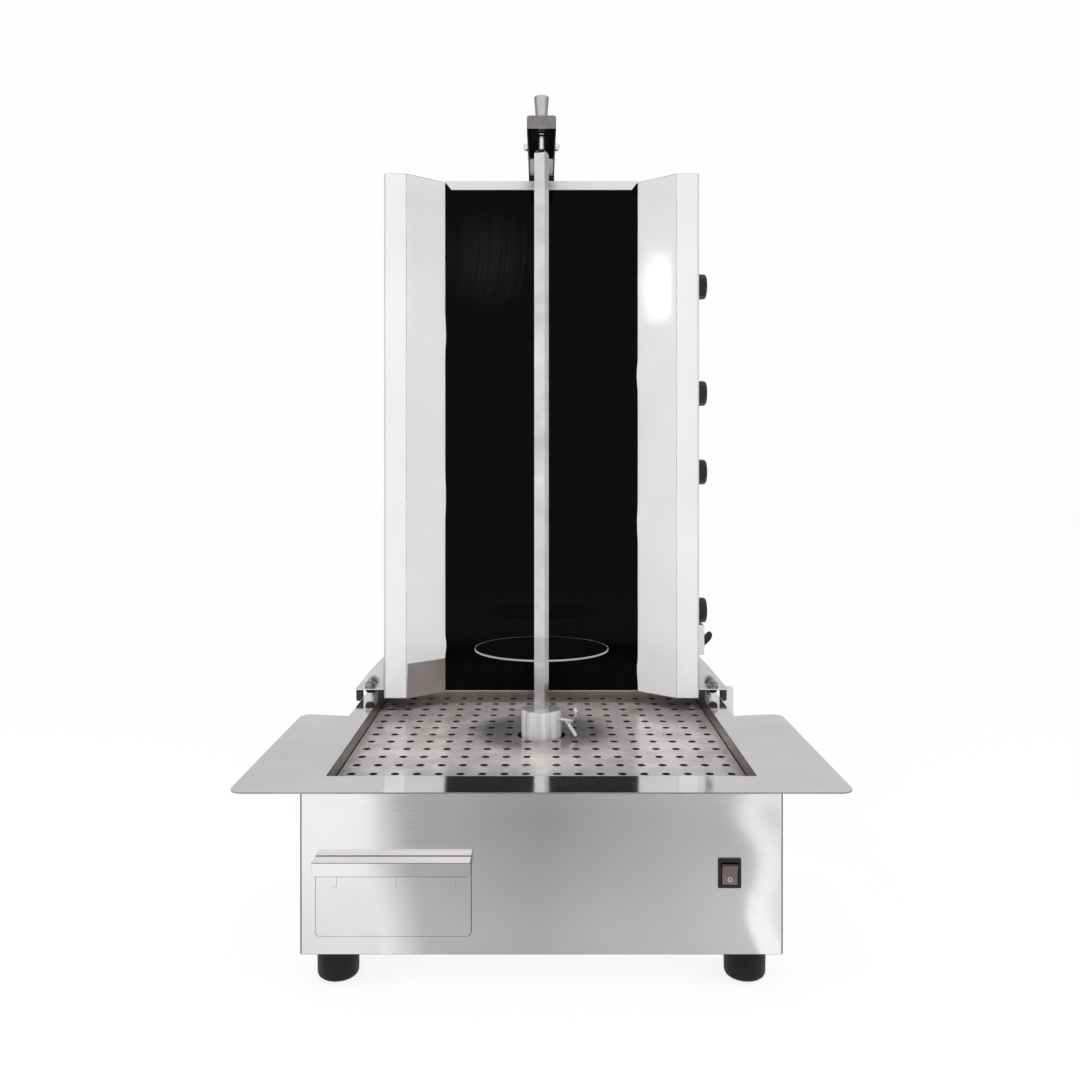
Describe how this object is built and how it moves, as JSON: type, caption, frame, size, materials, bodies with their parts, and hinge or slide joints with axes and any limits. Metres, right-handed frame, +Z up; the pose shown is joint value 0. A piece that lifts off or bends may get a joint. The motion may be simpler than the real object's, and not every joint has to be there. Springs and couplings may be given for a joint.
{
  "type": "electric skewer grill",
  "caption": "Table-top electric skewer grill: stainless base with flared catch pan and grease drawer, driven vertical skewer, sliding heater tower with heat knobs.",
  "frame": {"origin": "on the table under the middle of the whole grill's box", "axes": "+X to the right seen from the front, +Y to the back, +Z up"},
  "size_m": [0.64, 0.64, 1.0495],
  "materials": {
    "brushed_stainless": "satin brushed sheet",
    "polished_stainless": "polished",
    "film_white": "steel sheet under white protective film",
    "zinc_fasteners": "zinc plated",
    "black_rubber": "matt",
    "black_plastic": "satin moulded",
    "rocker_grey": "moulded",
    "black_glass": "polished black ceramic glass",
    "block_plastic": "moulded",
    "arm_steel": "satin grey outside, dark inside",
    "cast_aluminium": "cast",
    "painted_motor": "enamelled",
    "insulation": "ceramic fibre board",
    "heater_ceramic": "fired ceramic"
  },
  "bodies": {
    "base": {"base_shell": "brushed_stainless", "base_floor": "brushed_stainless", "rear_cover": "brushed_stainless", "feet": "black_rubber", "catch_pan": "brushed_stainless", "perforated_plate": "polished_stainless", "gearbox": "cast_aluminium", "motor": "painted_motor", "motor_bridge": "brushed_stainless", "drawer_runners": "brushed_stainless", "switch_housing": "black_plastic", "terminal_block": "block_plastic", "cable_gland": "black_plastic"},
    "drawer": {"drawer_tray": "brushed_stainless", "drawer_front": "brushed_stainless", "drawer_handle": "brushed_stainless"},
    "rocker": {"rocker": "rocker_grey"},
    "spindle": {"drive_collar": "polished_stainless", "output_shaft": "polished_stainless", "skewer": "polished_stainless", "meat_disc": "polished_stainless", "disc_pin": "polished_stainless"},
    "wing_screw": {"wing_screw": "polished_stainless"},
    "tower": {"side_panel_left": "brushed_stainless", "side_panel_right": "brushed_stainless", "wing_left": "film_white", "wing_right": "film_white", "roof": "brushed_stainless", "tower_floor": "brushed_stainless", "tower_back": "brushed_stainless", "ceramic_glass": "black_glass", "top_trim": "brushed_stainless", "heater_1": "heater_ceramic", "heater_2": "heater_ceramic", "heater_3": "heater_ceramic", "heater_4": "heater_ceramic", "insulation_board": "insulation", "regulators": "black_plastic", "carriage_left": "brushed_stainless", "carriage_right": "brushed_stainless", "glide_shoes": "black_plastic", "guide_hooks": "black_plastic", "carriage_nuts": "zinc_fasteners", "carriage_buffers": "black_rubber", "clamp_plate": "brushed_stainless", "latch_box": "brushed_stainless", "arm_guide": "brushed_stainless", "arm_pads": "black_rubber", "arm_clamp": "zinc_fasteners"},
    "heat_knob_1": {"knob_1": "black_plastic"},
    "heat_knob_2": {"knob_2": "black_plastic"},
    "heat_knob_3": {"knob_3": "black_plastic"},
    "heat_knob_4": {"knob_4": "black_plastic"},
    "latch_lever": {"latch_lever": "black_plastic"},
    "arm": {"arm_channel": "arm_steel", "cross_bolt": "polished_stainless", "plunger_bush": "polished_stainless", "plunger_spring": "polished_stainless"},
    "plunger": {"plunger_pin": "polished_stainless", "pull_knob": "polished_stainless"}
  },
  "joints": [
    {"name": "drawer_slide", "type": "slide", "parent": "base", "child": "drawer", "axis": [0, -1, 0], "range_m": [0, 0.3]},
    {"name": "rocker_tilt", "type": "hinge", "parent": "base", "child": "rocker", "pos_m": [0.202, -0.26, 0.128], "axis": [1, 0, 0], "range_deg": [-18, 0]},
    {"name": "spindle_turn", "type": "hinge", "parent": "base", "child": "spindle", "pos_m": [0, -0.017, 0.212], "axis": [0, 0, 1], "continuous": true},
    {"name": "wing_screw_turn", "type": "hinge", "parent": "spindle", "child": "wing_screw", "pos_m": [0, -0.017, 0.235], "axis": [0.9272, -0.3746, 0], "range_deg": [0, 360]},
    {"name": "tower_slide", "type": "slide", "parent": "base", "child": "tower", "axis": [0, 1, 0], "range_m": [-0.08, 0.03]},
    {"name": "arm_slide", "type": "slide", "parent": "tower", "child": "arm", "axis": [0, 1, 0], "range_m": [-0.03, 0.08]},
    {"name": "plunger_pull", "type": "slide", "parent": "arm", "child": "plunger", "axis": [0, 0, 1], "range_m": [0, 0.01], "stiffness_N_per_m": 300, "springref_m": -0.006, "deforming": ["plunger_spring"]},
    {"name": "latch_swing", "type": "hinge", "parent": "tower", "child": "latch_lever", "pos_m": [0.2337, 0.15, 0.3015], "axis": [0, 1, 0], "range_deg": [0, 60]},
    {"name": "knob_1_turn", "type": "hinge", "parent": "tower", "child": "heat_knob_1", "pos_m": [0.227, 0.194, 0.8375], "axis": [-1, 0, 0], "range_deg": [0, 270]},
    {"name": "knob_2_turn", "type": "hinge", "parent": "tower", "child": "heat_knob_2", "pos_m": [0.227, 0.194, 0.6757], "axis": [-1, 0, 0], "range_deg": [0, 270]},
    {"name": "knob_3_turn", "type": "hinge", "parent": "tower", "child": "heat_knob_3", "pos_m": [0.227, 0.194, 0.5564], "axis": [-1, 0, 0], "range_deg": [0, 270]},
    {"name": "knob_4_turn", "type": "hinge", "parent": "tower", "child": "heat_knob_4", "pos_m": [0.227, 0.194, 0.3467], "axis": [-1, 0, 0], "range_deg": [0, 270]}
  ],
  "couplings": [
    {"joint": "arm_slide", "follows": "tower_slide", "ratio": -1}
  ]
}
